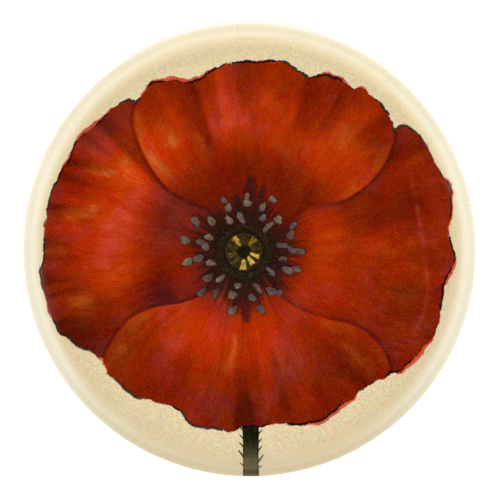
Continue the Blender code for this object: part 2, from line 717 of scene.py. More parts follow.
@dataclass(frozen=True)
class Petal:
    """One petal: its outline, and how light it is from its foot to its margin.

    Attributes:
        outline: Angle in degrees and radius in millimetres round the flower's centre.
        reach: Radius and tone, from the foot outwards.
        folds: The petal's pleats and crests.
        stains: Where it is stained golden, or bleached to pink if the tone is below zero.
    """

    outline: tuple[Point, ...]
    reach: tuple[Point, ...]
    folds: tuple[Fold | Ridge, ...]
    stains: tuple[Fold | Ridge, ...]

    def curve(self, ripple: np.ndarray, steps: int = 14) -> np.ndarray:
        """The outline as a smooth curve with a fine ripple along its margin.

        Args:
            ripple: Four random turns, one for each wave of the ripple.
            steps: Pieces between one point of the outline and the next.

        Returns:
            The curve's points, in millimetres from the flower's centre.
        """
        angle, radius = np.array(self.outline, float).T
        angle = np.radians(angle)
        points = closed_curve(np.stack([radius * np.cos(angle), radius * np.sin(angle)], axis=1), steps)
        reach = np.hypot(points[:, 0], points[:, 1])
        turn = np.arctan2(points[:, 1], points[:, 0])
        waves = zip((19, 34, 61, 103), (0.34, 0.24, 0.15, 0.09), ripple)
        swell = sum(size * np.sin(count * turn + start) for count, size, start in waves)
        swell = swell * eased(reach, 50.0, 57.0)
        return points * (1.0 + swell / np.maximum(reach, 1.0))[:, None]

    def tone(self, angle: np.ndarray, radius: np.ndarray) -> np.ndarray:
        """How light the petal is at points given by angle in degrees and radius."""
        places, tones = zip(*self.reach)
        base = np.interp(radius, places, tones)
        return base + sum(fold.at(angle, radius) for fold in self.folds)

    def stain(self, angle: np.ndarray, radius: np.ndarray) -> np.ndarray:
        """How golden the petal is, or how pink if below zero."""
        return sum(fold.at(angle, radius) for fold in self.stains)


class PetalPlace(Enum):
    """The flower's four petals, by where they stand in the picture."""

    TOP = "top"
    BOTTOM = "bottom"
    LEFT = "left"
    RIGHT = "right"


# The light crest inside the right petal's margin: angle and radius.
CREST: tuple[Point, ...] = (
    (-32, 60.0), (-23, 60.9), (-17, 60.7), (-12, 59.9), (-3, 57.9), (4, 57.0), (11, 56.6),
    (20, 57.3), (30, 59.0),
)

PETALS: dict[PetalPlace, Petal] = {
    PetalPlace.TOP: Petal(
        outline=(
            (39, 61.5), (43, 63), (48, 63.5), (53, 64.5), (57, 62), (61, 62), (65, 61.5), (69.5, 59),
            (74, 60.5), (79, 61), (88, 60.2), (95, 60.2), (101, 57.5), (108, 56.7), (113, 59),
            (119, 60.7), (124, 59.2), (127, 59), (132, 54), (138, 43), (142, 32), (140, 24),
            (133, 17), (120, 4), (36, 15), (33, 26), (26.5, 34), (27, 42), (30, 50), (34, 57),
        ),
        reach=(
            (0, 0.0), (12, 0.04), (20, 0.06), (26, 0.12), (30, 0.3), (34, 0.54), (40, 0.76),
            (46, 0.72), (53, 0.5), (62, 0.48),
        ),
        folds=(
            Fold(108, 4.6, 30, -0.4, 0.0, 90, -1), Fold(70, 5.0, 38, -0.34, -0.15, 90, 1),
            Fold(92, 3.6, 42, -0.2, 0.0, 90, 1), Fold(99, 4.0, 34, 0.28, 0.0, 90, 1),
            Fold(50, 5.5, 28, 0.16), Fold(130, 5.0, 26, 0.2, 0.1, 58), Fold(122, 5.0, 20, 0.1, 0.0, 46),
            Fold(58, 3.4, 40, -0.26, 0.0, 90, 1), Fold(42, 3.6, 46, -0.24), Fold(82, 3.4, 40, 0.14),
        ),
        stains=(
            Fold(124, 3.4, 34, 0.45, 0.0, 58), Fold(112, 2.6, 26, 0.5, 0.0, 46),
            Fold(50, 4.5, 36, 0.45, 0.0, 58), Fold(103, 3.6, 33, -0.5, 0.0, 50),
            Fold(84, 4.2, 35, -0.5, 0.0, 56), Fold(136, 3.0, 26, -0.5, 0.0, 48),
            Fold(60, 5.0, 30, -0.4, 0.0, 48), Fold(92, 6.0, 50, 0.3),
        ),
    ),
    PetalPlace.BOTTOM: Petal(
        outline=(
            (217.5, 57), (221, 58.7), (224, 60), (230, 59.3), (236, 58.2), (241, 57), (246, 56),
            (254, 58.6), (261, 58.8), (266.5, 59), (270, 57), (275, 56.7), (284, 58.2), (292, 59.7),
            (302, 59.5), (309, 58.5), (315, 59.9), (320, 61.5), (323.5, 56), (325.5, 49),
            (325, 42), (320, 35), (312, 26), (306, 18), (290, 4), (232, 16), (221, 26),
            (212.5, 35), (211, 43), (213.5, 50),
        ),
        reach=(
            (0, 0.06), (12, 0.14), (17, 0.3), (23, 0.62), (29, 0.74), (35, 0.68), (42, 0.46),
            (50, 0.3), (60, 0.32),
        ),
        folds=(
            Fold(270, 3.4, 34, -0.3), Fold(270.0, 3.2, 46, -0.5), Fold(264, 2.6, 20, 0.16, 0.0, 44, 1),
            Fold(251, 4.5, 22, 0.16), Fold(312, 6.0, 24, -0.2),
            Fold(232, 5.0, 20, 0.16, 0.0, 46), Fold(285, 4.0, 30, -0.2, 0.0, 90, 1),
            Fold(278, 3.4, 22, 0.14, 0.0, 56, -1),
            Fold(222, 5.0, 46, 0.06), Fold(300, 6.0, 22, -0.1), Fold(243, 3.2, 36, -0.06),
            Fold(318, 3.5, 50, 0.1),
        ),
        stains=(
            Fold(220, 3.5, 44, 0.6), Fold(234, 5.0, 30, -0.4, 0.0, 52), Fold(262, 2.6, 22, 0.5, 0.0, 46),
            Fold(251, 5.0, 44, -0.4), Fold(288, 4.0, 26, -0.5, 0.0, 50), Fold(316, 3.0, 36, 0.4),
            Fold(266, 3.0, 50, 0.4), Fold(304, 4.0, 40, 0.35),
        ),
    ),
    PetalPlace.LEFT: Petal(
        outline=(
            (127.5, 60.2), (133, 61.5), (139, 62.6), (144, 63.5), (147, 64.6), (150, 63.8), (153, 63.2),
            (159, 65), (163, 65.4), (168, 64.8), (173, 65.5), (182, 65.4), (188, 66.6), (194, 67.1),
            (200, 66.8), (204, 66), (207, 63), (211, 61.6), (215, 59.5), (218.5, 56), (226, 40),
            (238, 26), (252, 12), (180, 3), (118, 14), (128, 36), (125, 50),
        ),
        reach=(
            (0, 0.04), (12, 0.08), (18, 0.24), (23, 0.3), (28, 0.32), (33, 0.56), (39, 0.88),
            (45, 0.92), (50, 0.74), (57, 0.5), (67, 0.38),
        ),
        folds=(
            Fold(139, 4.6, 28, -0.44, 0.1, 90, 1), Fold(154, 2.6, 42, -0.36, -0.3, 90, 1),
            Fold(163, 4.0, 42, 0.08), Fold(147, 4.0, 34, 0.24, -0.1, 62), Fold(209, 7.0, 44, -0.16),
            Fold(206, 8.0, 22, -0.46), Fold(204, 7.0, 34, -0.1), Fold(160, 6.0, 10, -0.22, 0.0, 36),
            Fold(167, 2.0, 50, -0.3, -0.2, 90, -1), Fold(174, 2.4, 48, 0.16, -0.1),
            Fold(201, 2.2, 46, 0.2, 0.2, 90, 1), Fold(179, 2.6, 52, -0.16),
            Fold(190, 3.0, 50, -0.26, 0.1, 90, 1),
            Fold(170, 2.8, 50, 0.14), Fold(197, 2.4, 48, 0.16), Fold(150, 3.0, 44, 0.14),
            Fold(134, 3.0, 46, 0.16), Fold(185, 2.6, 50, 0.06), Fold(158, 1.6, 48, -0.2, -0.1),
            Fold(165, 1.4, 50, 0.18), Fold(193.5, 1.5, 48, -0.24), Fold(183, 1.4, 50, -0.2),
            Fold(204.5, 1.8, 46, 0.22, 0.1), Fold(145, 1.8, 46, -0.2),
        ),
        stains=(
            Fold(153, 2.4, 44, 0.85, -0.2, 64), Fold(169, 2.8, 44, 0.95, -0.2, 66),
            Fold(197, 2.6, 45, 0.8, 0.1, 64),
            Fold(181, 2.0, 50, 0.6), Fold(171, 7.0, 32, -0.6, 0.0, 52), Fold(154, 4.0, 28, -0.5, 0.0, 46),
            Fold(139, 3.0, 38, 0.5, 0.0, 62), Fold(188, 5.0, 34, -0.5, 0.0, 54), Fold(146, 4.0, 46, -0.4),
        ),
    ),
    PetalPlace.RIGHT: Petal(
        outline=(
            (-40, 61.5), (-36, 63.6), (-28, 66.3), (-22, 66.7), (-17, 65.8), (-11.5, 65), (-8, 65.6),
            (-4, 67.2), (0, 66.6), (5, 65.8), (10, 67.4), (13, 68.8), (17.5, 69.1), (20.5, 67.5),
            (24, 68.1), (28, 67.9), (32, 67.2), (36, 65.8), (38.5, 62.5), (37, 50), (40, 36),
            (50, 14), (0, 3), (-66, 18), (-54, 32), (-47, 50),
        ),
        reach=(
            (0, 0.0), (12, 0.06), (18, 0.26), (23, 0.58), (28, 0.6), (35, 0.5), (43, 0.46),
            (52, 0.36), (60, 0.36), (68, 0.42),
        ),
        folds=(
            Fold(15, 7.0, 30, -0.24, 0.0, 64), Fold(3, 4.0, 32, 0.16), Fold(-8, 3.0, 46, 0.08),
            Fold(-24, 4.0, 34, -0.1), Fold(-15, 3.2, 44, -0.06), Fold(26, 3.5, 46, 0.1),
            Fold(31, 3.0, 50, -0.12), Fold(8, 2.2, 54, 0.14), Fold(-32, 4.0, 44, 0.0),
            Fold(20, 2.6, 52, 0.06), Fold(11, 6.0, 18, 0.16, 0.0, 36),
            Ridge(CREST, 0.8, 0.1),
        ),
        stains=(
            Ridge(CREST, 0.9, -0.75), Fold(20, 6.0, 38, -0.3, 0.0, 62),
            Fold(-22, 6.0, 40, -0.3, 0.0, 62), Fold(0, 9.0, 14, 0.3, 0.0, 42),
            Fold(14, 3.0, 40, 0.6, 0.0, 54), Fold(28, 3.0, 58, 0.6),
            Fold(0, 4.0, 36, 0.4, 0.0, 54), Fold(-10, 4.0, 28, -0.4, 0.0, 46),
        ),
    ),
}


Fields = dict[str, np.ndarray]

OUTSIDE = -9.0  # distance that stands for well outside a shape
HEART_REACH = 30.0  # radius that holds all of the heart
CAPSULE_EDGE = 6.0  # radius at which filaments and strokes leave the capsule
HEART_EDGES = ("anther", "filament", "spike", "ray")
HEART_TONES = ("anther_tone", "ray_tone")


def split(x: np.ndarray, y: np.ndarray, turn: float) -> tuple[np.ndarray, np.ndarray]:
    """How far points lie along a direction, and to the left of it.

    Args:
        x: Place across.
        y: Place up.
        turn: The direction, in radians from +X.

    Returns:
        The way along, and the way to the left.
    """
    return x * math.cos(turn) + y * math.sin(turn), y * math.cos(turn) - x * math.sin(turn)


def lay(made: Fields, name: str, body: np.ndarray, tone: np.ndarray | float | None = None) -> None:
    """Adds one shape to a field of distances, and its tone where it is the nearest so far.

    Args:
        made: The heart's fields.
        name: The field that the shape joins.
        body: Distance inside the shape.
        tone: The shape's tone, if the field has tones.
    """
    if tone is not None:
        made[f"{name}_tone"] = np.where(body > made[name], tone, made[f"{name}_tone"])
    made[name] = np.maximum(made[name], body)


@dataclass(frozen=True)
class PoppyDrawing:
    """The picture on the sheet, seen from above, in millimetres from the plate's axis.

    Attributes:
        centre: The flower's centre.
        capsule: The middle of the seed capsule.
        scale: How much larger the drawing is than its own sizes say.
        heart: Radius round the centre that petals cover without a gap.
        seed: Start of the random numbers.
        anther_rings: Radius, number and mean size of each ring of anthers.
        spikes: Angle, length and half width of the dark blotches at the petals' feet.
        strokes: Number of dark strokes between the capsule and the stamens.
        wedges: Number of golden rays on the capsule.
    """

    centre: Point = (-1.4, 0.4)
    capsule: Point = (-1.8, -0.4)
    scale: float = 1.01
    heart: float = 26.0
    seed: int = 41
    anther_rings: tuple[tuple[float, int, float], ...] = (
        (11.8, 13, 0.9), (15.0, 15, 1.05), (18.4, 13, 0.95),
    )
    spikes: tuple[tuple[float, float, float], ...] = (
        (84, 25.0, 2.3), (73, 22.5, 1.5), (272, 23.5, 2.3), (97, 19.0, 1.6), (262, 20.5, 1.9),
    )
    strokes: int = 130
    wedges: int = 10

    def fields(self, x: np.ndarray, y: np.ndarray) -> dict[str, np.ndarray]:
        """Works out the drawing at the sheet's points.

        Args:
            x: Where the points lie, across, in millimetres.
            y: Where the points lie, up.

        Returns:
            The name and values of each field that the paper's material reads.
        """
        random = np.random.default_rng(self.seed)
        x, y = x / self.scale, y / self.scale
        made = self._petals(x - self.centre[0], y - self.centre[1], random)
        made.update(self._heart(x - self.capsule[0], y - self.capsule[1], random))
        return made

    def _petals(self, x: np.ndarray, y: np.ndarray, random: np.random.Generator) -> dict[str, np.ndarray]:
        """Outlines and tones of the petals.

        Args:
            x: Place across, from the flower's centre.
            y: Place up, from the flower's centre.
            random: The drawing's random numbers.

        Returns:
            The edge, tone and stain of the front pair and of the back pair.
        """
        angle, radius = np.degrees(np.arctan2(y, x)), np.hypot(x, y)
        edge = {}
        for place, petal in PETALS.items():
            edge[place] = inside_distance(x, y, petal.curve(random.uniform(0.0, math.tau, 4)))
        tone = {place: petal.tone(angle, radius) for place, petal in PETALS.items()}
        stain = {place: petal.stain(angle, radius) for place, petal in PETALS.items()}
        top, bottom, left, right = (PetalPlace.TOP, PetalPlace.BOTTOM, PetalPlace.LEFT, PetalPlace.RIGHT)
        return {
            "front_edge": np.maximum(edge[top], edge[bottom]),
            "back_edge": np.maximum(np.maximum(edge[left], edge[right]), self.heart - radius),
            "front_tone": np.where(y > 0.0, tone[top], tone[bottom]),
            "back_tone": np.where(x < 0.0, tone[left], tone[right]),
            "front_stain": np.where(y > 0.0, stain[top], stain[bottom]),
            "back_stain": np.where(x < 0.0, stain[left], stain[right]),
        }

    def _heart(self, x: np.ndarray, y: np.ndarray, random: np.random.Generator) -> dict[str, np.ndarray]:
        """The stamens, the capsule's rays and the blotches round them.

        Args:
            x: Place across, from the capsule's middle.
            y: Place up, from the capsule's middle.
            random: The drawing's random numbers.

        Returns:
            Distances to the anthers, the filaments, the blotches and the golden rays, and the
            tone of the nearest anther and ray.
        """
        near = np.hypot(x, y) < HEART_REACH
        inner = {name: np.full(int(near.sum()), OUTSIDE) for name in HEART_EDGES}
        inner.update({name: np.zeros(int(near.sum())) for name in HEART_TONES})
        for draw in (self._anthers, self._strokes, self._blotches, self._rays):
            draw(inner, x[near], y[near], random)
        made = {name: np.full(x.shape, OUTSIDE) for name in HEART_EDGES}
        made.update({name: np.zeros(x.shape) for name in HEART_TONES})
        for name, values in inner.items():
            made[name][near] = values
        return made

    def _anthers(self, made: Fields, x: np.ndarray, y: np.ndarray, random: np.random.Generator) -> None:
        """Adds the rings of anthers, each with its bowed filament.

        Args:
            made: The heart's fields so far.
            x: Place across, from the capsule's middle.
            y: Place up, from the capsule's middle.
            random: The drawing's random numbers.
        """
        for ring, number, size in self.anther_rings:
            for step in range(number):
                turn = math.tau * (step + random.uniform(-0.3, 0.3)) / number + ring
                reach = ring + random.uniform(-1.1, 1.1)
                long = size * random.uniform(1.0, 2.0)
                wide = size * random.uniform(0.75, 1.25)
                tilt = turn + random.uniform(-0.35, 0.35)
                shade = random.uniform(0.0, 1.0)
                spot = (reach * math.cos(turn), reach * math.sin(turn))
                along, across = split(x - spot[0], y - spot[1], tilt)
                bent = np.sqrt((along / long) ** 2 + (across / wide) ** 2)
                around = np.arctan2(across, along)
                lumps = random.uniform(0.0, math.tau, 2)
                bent *= 1.0 + 0.13 * np.sin(2.0 * around + lumps[0]) + 0.1 * np.sin(3.0 * around + lumps[1])
                lit = shade + 0.35 * along / long
                lay(made, "anther", (1.0 - bent) * wide, lit)
                out, side = split(x, y, turn)
                bow = random.uniform(-0.6, 0.6) * np.sin(np.clip(out / reach, 0.0, 1.0) * math.pi)
                thread = random.uniform(0.26, 0.46) - np.abs(side - bow)
                lay(made, "filament", np.where((out > CAPSULE_EDGE) & (out < reach), thread, OUTSIDE))

    def _strokes(self, made: Fields, x: np.ndarray, y: np.ndarray, random: np.random.Generator) -> None:
        """Adds the short dark strokes between the capsule and the stamens, as _anthers does."""
        for _ in range(self.strokes):
            turn, wide = random.uniform(0.0, math.tau), random.uniform(0.18, 0.5)
            length = random.uniform(11.0, 17.0) + max(0.0, random.normal(0.0, 1.6))
            out, side = split(x, y, turn)
            side = side + random.uniform(-0.05, 0.05) * out
            body = wide * np.clip((length - out) / 4.0, 0.0, 1.0) - np.abs(side)
            lay(made, "filament", np.where((out > CAPSULE_EDGE) & (out < length), body, OUTSIDE))

    def _blotches(self, made: Fields, x: np.ndarray, y: np.ndarray, _: np.random.Generator) -> None:
        """Adds the dark blotches at the petals' feet, which hold nothing random."""
        for degrees, length, wide in self.spikes:
            out, side = split(x, y, math.radians(degrees))
            taper = wide * np.clip((length - out) / 6.0, 0.0, 1.0) ** 0.5
            body = np.where((out > 0.0) & (out < length), taper - np.abs(side), OUTSIDE)
            lay(made, "spike", body)

    def _rays(self, made: Fields, x: np.ndarray, y: np.ndarray, random: np.random.Generator) -> None:
        """Adds the golden rays on the capsule, as _anthers does."""
        for step in range(self.wedges):
            turn = math.tau * (step + random.uniform(-0.12, 0.12)) / self.wedges + 1.5
            start, end = random.uniform(2.1, 3.2), random.uniform(4.9, 6.0)
            wide = random.uniform(0.5, 0.95)
            shade = random.uniform(0.0, 1.0)
            out, side = split(x, y, turn)
            body = np.minimum(wide * out / 4.8 - np.abs(side), np.minimum(out - start, end - out))
            lay(made, "ray", body, shade)


# ------------------------------------------------------------------ finishes


@dataclass(frozen=True)
class ClearGlass:
    """Pressed clear glass with a polished edge, which lets lamps through to the print.

    Attributes:
        tint: Colour of the glass.
        index: Its index of refraction.
    """

    tint: Colour = (0.97, 0.985, 0.975, 1.0)
    index: float = 1.5

    def make(self) -> bpy.types.Material:
        """The glass's material: slow waves over the faces, finest scratches in the gloss."""
        material, graph = new_material("clear_glass")
        place = graph.place()
        waves = graph.noise(place, 0.035, 1.0)
        normal = graph.bump(waves, 0.25 * MM)
        wear = graph.noise(graph.vector("MULTIPLY", place, (0.3, 2.2, 1.0)), 1.0, 3.0)
        gloss = graph.smooth(wear, 0.05, 0.4, 0.01, 0.05)
        inputs = {"Color": self.tint, "IOR": self.index, "Roughness": gloss, "Normal": normal}
        glass = graph.add("ShaderNodeBsdfGlass", None, inputs)
        rays = graph.add("ShaderNodeLightPath", None, None, "Is Shadow Ray")
        clear = graph.add("ShaderNodeBsdfTransparent", None, {"Color": self.tint})
        indirect = rays.output("Is Diffuse Ray")
        bounced = graph.add("ShaderNodeMixShader", None, {0: indirect, 1: glass, 2: clear})
        close_material(graph, graph.add("ShaderNodeMixShader", None, {0: rays, 1: bounced, 2: clear}))
        return material


@dataclass(frozen=True)
class PrintedPaper:
    """Aged cream paper with the poppy: washes of red under a fine broken line of ink.

    Its sizes are in millimetres.

    Attributes:
        centre: The flower's centre.
        capsule: The middle of the seed capsule.
        stem_middle: How far right the stem stands.
        stem_half: Half the stem's width.
        stem_top: Where the stem comes out from under the petals.
        hair_pitch: From one bristle of the stem to the next.
        hair_end: Where the lowest bristle ends, short of the edge of the glass.
        back_depth: Depth in metres past which the sheet is its bare back.
        grit: Strength of the print's grain.
    """

    centre: Point
    capsule: Point
    stem_middle: float = 0.4
    stem_half: float = 2.6
    stem_top: float = -55.0
    hair_pitch: float = 2.68
    hair_end: float = -71.5
    back_depth: float = 3.1 * MM
    grit: float = 0.27

    def make(self) -> bpy.types.Material:
        """The sheet's material, laid down in the order that it was printed and coloured."""
        material, graph = new_material("printed_paper")
        place = graph.place()
        grain = graph.noise(place, 1.9, 3.0, 0.65)
        paper = self._paper(graph, place, grain)
        sheet = self._stem(graph, place, grain, paper)
        sheet = self._petals(graph, place, grain, sheet)
        sheet = self._heart(graph, place, grain, sheet)
        sheet = self._grit(graph, place, sheet)
        printed = graph.math("LESS_THAN", graph.attribute("depth"), self.back_depth)
        sheet = graph.blend(printed, paint(216, 203, 176), sheet)
        height = graph.noise(place, 0.9, 4.0, 0.6)
        inputs = {
            "Base Color": sheet,
            "Roughness": 0.62,
            "Specular IOR Level": 0.0,
            "Normal": graph.bump(height, 0.02 * MM),
        }
        close_material(graph, graph.add("ShaderNodeBsdfPrincipled", None, inputs))
        return material

    @staticmethod
    def _round(graph: Graph, place: Signal, centre: Point) -> tuple[Signal, Signal, Signal]:
        """Where a place lies round an upright line.

        Args:
            graph: The material's graph.
            place: The place.
            centre: Where the line stands.

        Returns:
            The way from the line, its length and its direction.
        """
        spot = graph.vector("SUBTRACT", place, (centre[0], centre[1], 0.0))
        flat = graph.vector("MULTIPLY", spot, (1.0, 1.0, 0.0))
        radius = graph.vector("LENGTH", flat, output="Value")
        return flat, radius, graph.vector("NORMALIZE", flat)

    def _grit(self, graph: Graph, place: Signal, colour: Signal) -> Signal:
        """Breaks a colour up with the print's grain, which differs in red, green and blue."""
        root = graph.add("ShaderNodeGamma", None, {"Color": colour, "Gamma": 0.5})
        inputs = {"Vector": place, "Scale": 2.1, "Detail": 2.0, "Roughness": 0.8}
        specks = graph.add("ShaderNodeTexNoise", None, inputs, "Color")
        specks = graph.vector("SUBTRACT", specks, (0.5, 0.5, 0.5))
        out = graph.vector("LENGTH", graph.vector("MULTIPLY", place, (1.0, 1.0, 0.0)), output="Value")
        bare = graph.smooth(graph.add("ShaderNodeSeparateColor", None, {0: root}, "Green"), 0.45, 0.75)
        strength = graph.smooth(out, 67.0, 70.5, self.grit, self.grit * 0.15) * (1.0 + bare * 1.2)
        moved = graph.vector("ADD", root, graph.vector("SCALE", specks, strength))
        return graph.vector("MULTIPLY", moved, moved)

    def _paper(self, graph: Graph, place: Signal, grain: Signal) -> Signal:
        """Bare paper, mottled and flecked, and paler where the rim faces the light."""
        flat = graph.vector("MULTIPLY", place, (1.0, 1.0, 0.0))
        out = graph.vector("LENGTH", flat, output="Value")
        way = graph.add("ShaderNodeSeparateXYZ", None, {0: graph.vector("NORMALIZE", flat)})
        # The paper is drawn a little darker towards the bottom of the picture.
        paler_upwards = graph.smooth(graph.add("ShaderNodeSeparateXYZ", None, {0: place}).output("Y"), -75.0, 60.0)
        tone = graph.blend(paler_upwards, paint(212, 192, 155), paint(219, 199, 159))
        height = way.output("Y")
        # Painted sheen of the glass rim: the paper under the rim is painted paler and whiter, most at the
        # top and the sides, hardly at the bottom.
        painted_rim_sheen = 0.42 - graph.smooth(height, 0.2, 0.9) * 0.17
        painted_rim_sheen = painted_rim_sheen * graph.smooth(height, -1.05, -0.4) + 0.05
        flatter = graph.smooth(out, 70.6, 67.0)
        patches = graph.noise(graph.vector("ADD", place, (50.0, 0.0, 0.0)), 0.3, 3.0, 0.7)
        flush = graph.smooth(patches, -0.05, 0.2)
        tone = graph.blend(flush * flatter * 0.5, tone, paint(220, 192, 170))
        cloud = graph.smooth(graph.noise(place, 0.06, 4.0, 0.6), -0.12, 0.16)
        tone = graph.blend(cloud * 0.4, tone, paint(214, 196, 162))
        fibre = graph.smooth(graph.noise(place, 0.55, 5.0, 0.7), -0.02, 0.24)
        tone = graph.blend(fibre * flatter * 0.45, tone, paint(236, 214, 170))
        # Lays the painted rim sheen over the paper.
        tone = graph.blend(graph.smooth(out, 68.4, 71.0) * painted_rim_sheen, tone, paint(251, 253, 242))
        tone = graph.blend(graph.smooth(grain, 0.02, 0.3) * 0.3, tone, paint(196, 176, 138))
        flecks = graph.smooth(graph.noise(place, 0.62, 1.0), 0.285, 0.31)
        return graph.blend(flecks * flatter * 0.75, tone, paint(88, 78, 60))

    def _stem(self, graph: Graph, place: Signal, grain: Signal, under: Signal) -> Signal:
        """The stalk that runs down off the sheet, with its short bristles."""
        spot = graph.add("ShaderNodeSeparateXYZ", None, {0: place})
        wander = graph.noise(place, 0.12, 1.0) * 0.5
        off = spot - self.stem_middle + wander
        out = abs(off) - self.stem_half
        down = graph.attribute("reach") / MM
        below = graph.smooth(spot.output("Y"), self.stem_top, self.stem_top - 0.8)
        body = graph.smooth(out, 0.12, -0.12) * below
        # The stalk is drawn paler towards the rim.
        stalk_paling = graph.smooth(down, 60.0, 71.0)
        streak = graph.noise(graph.vector("MULTIPLY", place, (1.6, 0.12, 1.0)), 1.0, 2.0)
        stalk = graph.blend(stalk_paling, paint(15, 14, 2), paint(86, 76, 48))
        lighter = graph.smooth(streak + grain * 0.5, -0.1, 0.4) * (stalk_paling * 0.3 + 0.12)
        stalk = graph.blend(lighter, stalk, paint(110, 98, 70))
        rim = graph.smooth(out, -0.75, -0.2)
        stalk = graph.blend(rim * 0.6, stalk, paint(18, 16, 8))
        side = graph.math("SIGN", off)
        phase = down / self.hair_pitch + out / self.hair_pitch * 0.95 + side * 0.27
        place_in_row = graph.math("FRACT", phase)
        row = graph.math("FLOOR", phase) + side * 37.0
        luck = graph.add("ShaderNodeTexWhiteNoise", {"noise_dimensions": "1D"}, {"W": row})
        gap = abs(place_in_row - 0.5) * (self.hair_pitch * 0.72)
        length = luck * 0.5 + 1.05
        width = graph.both(0.3 - out / length * 0.13, 0.3) + grain * 0.2
        hair = graph.smooth(width - gap, -0.08, 0.08) * graph.smooth(length - out, 0.0, 0.15)
        hair = hair * graph.smooth(out, -0.3, -0.1) * below
        hair = hair * graph.smooth(spot.output("Y"), self.hair_end, self.hair_end + 0.4)
        drawn = graph.blend(hair * 0.92, under, paint(26, 22, 14))
        return graph.blend(body, drawn, stalk)

    def _petals(self, graph: Graph, place: Signal, grain: Signal, under: Signal) -> Signal:
        """The four petals, and the broken line of ink round them."""
        flat, radius, way = self._round(graph, place, self.centre)
        curl = graph.add(
            "ShaderNodeTexNoise", None, {"Vector": place, "Scale": 0.03, "Detail": 1.0}, "Color"
        )
        bent = graph.vector("MULTIPLY_ADD", curl, (0.16, 0.16, 0.0), way)
        broad = graph.noise(graph.vector("ADD", bent, graph.pack(0.0, 0.0, radius * 0.012)), 9.0, 2.0)
        along = graph.vector("ADD", bent, graph.pack(0.0, 0.0, radius * 0.0045))
        fine = graph.noise(along, 30.0, 2.0, 0.6)
        finest = graph.noise(along, 88.0, 2.0, 0.6)
        front_edge, back_edge = graph.attribute("front_edge"), graph.attribute("back_edge")
        outline = graph.either(front_edge, back_edge)
        parts = graph.add("ShaderNodeSeparateXYZ", None, {0: flat})
        turn = graph.math("ARCTAN2", parts.output("Y"), parts)
        sway = graph.noise(place, 0.1, 2.0)
        patch = graph.smooth(graph.noise(place, 0.09, 2.0), -0.08, 0.16)
        lines = graph.math("SINE", turn * 300.0 + radius * 2.6 + sway * 16.0)
        crossed = graph.math("SINE", turn * 260.0 - radius * 3.4 + sway * 14.0)
        crosswise = graph.smooth(crossed, 0.1, 0.9) * (1.0 - patch) * 0.8
        hatch = graph.smooth(lines, -0.2, 0.9) * patch + crosswise
        hatch = hatch * graph.smooth(radius, 22.0, 32.0)
        away = graph.smooth(radius, 8.0, 34.0, 0.45, 1.0)
        texture = broad * 0.46 * away + fine * 0.38 * away + finest * 0.3 + grain * 0.32 - hatch * 0.13
        cloud = graph.noise(place, 0.045, 3.0, 0.55)
        warmth = graph.noise(graph.vector("ADD", place, (31.0, 7.0, 0.0)), 0.06, 3.0, 0.65) + fine * 0.18
        margin = graph.smooth(outline, 9.0, 0.5)
        back = graph.attribute("back_tone") + texture + cloud * 0.3 - margin * 0.06
        shade = graph.smooth(front_edge, -7.0, -0.2)
        crease = graph.smooth(front_edge, -1.6, -0.1)
        back = back - shade * 0.16 - crease * 0.26
        leftward = graph.smooth(parts, 10.0, -10.0, -0.2, 0.3)
        cold = graph.smooth(radius, 44.0, 24.0) * leftward + shade * 0.4 + margin * 0.25 + warmth * 5.0
        stain = graph.attribute("back_stain")
        stain = stain * (1.0 + broad * 3.0) + grain * 0.5
        back = back + graph.smooth(stain, 0.2, 1.0) * 0.2
        back = self._wash(graph, back, cold - stain * 0.8, warmth, stain)
        front = graph.attribute("front_tone") + texture + cloud * 0.3 - margin * 0.06
        lip = graph.smooth(front_edge, 5.5, 1.4) * graph.smooth(front_edge, 0.1, 0.8)
        lip = lip * graph.smooth(back_edge, 0.0, 3.0) * graph.smooth(radius, 26.0, 40.0)
        front = front - graph.smooth(front_edge, 0.5, 0.0) * 0.18 + lip * 0.1
        stain = graph.attribute("front_stain") * (1.0 + broad * 3.0) + grain * 0.5
        front = front + graph.smooth(stain, 0.2, 1.0) * 0.12
        cold = warmth * 5.0 - 0.1 + margin * 0.15 - stain * 0.8
        front = self._wash(graph, front, cold, warmth - lip * 0.16, stain)
        alone = graph.smooth(back_edge, 0.5, 0.0) * graph.smooth(front_edge - back_edge, 0.0, 0.3)
        cover = graph.either(graph.smooth(front_edge + grain * 0.4, -0.12, 0.18), alone)
        red = graph.blend(cover, back, front)
        glow = graph.noise(graph.vector("ADD", place, (-20.0, 40.0, 0.0)), 0.055, 2.0)
        pure = graph.smooth(glow, -0.02, 0.14)
        red = graph.blend(pure * 0.5, red, (1.0, 0.5, 0.4, 1.0), "MULTIPLY")
        ragged = outline + graph.noise(place, 0.9, 2.0, 0.6) * 1.0
        drift = graph.both(graph.noise(place, 0.05, 3.0) * 8.0 + 0.15, 1.3)
        washed = graph.smooth(ragged + graph.either(drift, -0.16), -0.12, 0.16)
        thin = graph.smooth(ragged, 0.1, -0.25)
        pale = graph.blend(graph.smooth(warmth, -0.05, 0.05), paint(206, 74, 40), paint(196, 70, 62))
        pale = graph.blend(graph.smooth(grain, -0.1, 0.3) * 0.5, pale, paint(232, 138, 104))
        red = graph.blend(thin * 0.85, red, pale)
        drawn = graph.blend(washed, under, red)
        luck = graph.noise(graph.vector("ADD", place, (0.0, 90.0, 0.0)), 0.075, 2.0)
        weight = graph.smooth(luck, -0.1, 0.02, -0.25, 0.38) + graph.noise(place, 1.3, 3.0, 0.7) * 0.9
        ink = graph.smooth(weight - abs(ragged + 0.05), -0.07, 0.07)
        return graph.blend(ink * 0.95, drawn, paint(12, 7, 12))

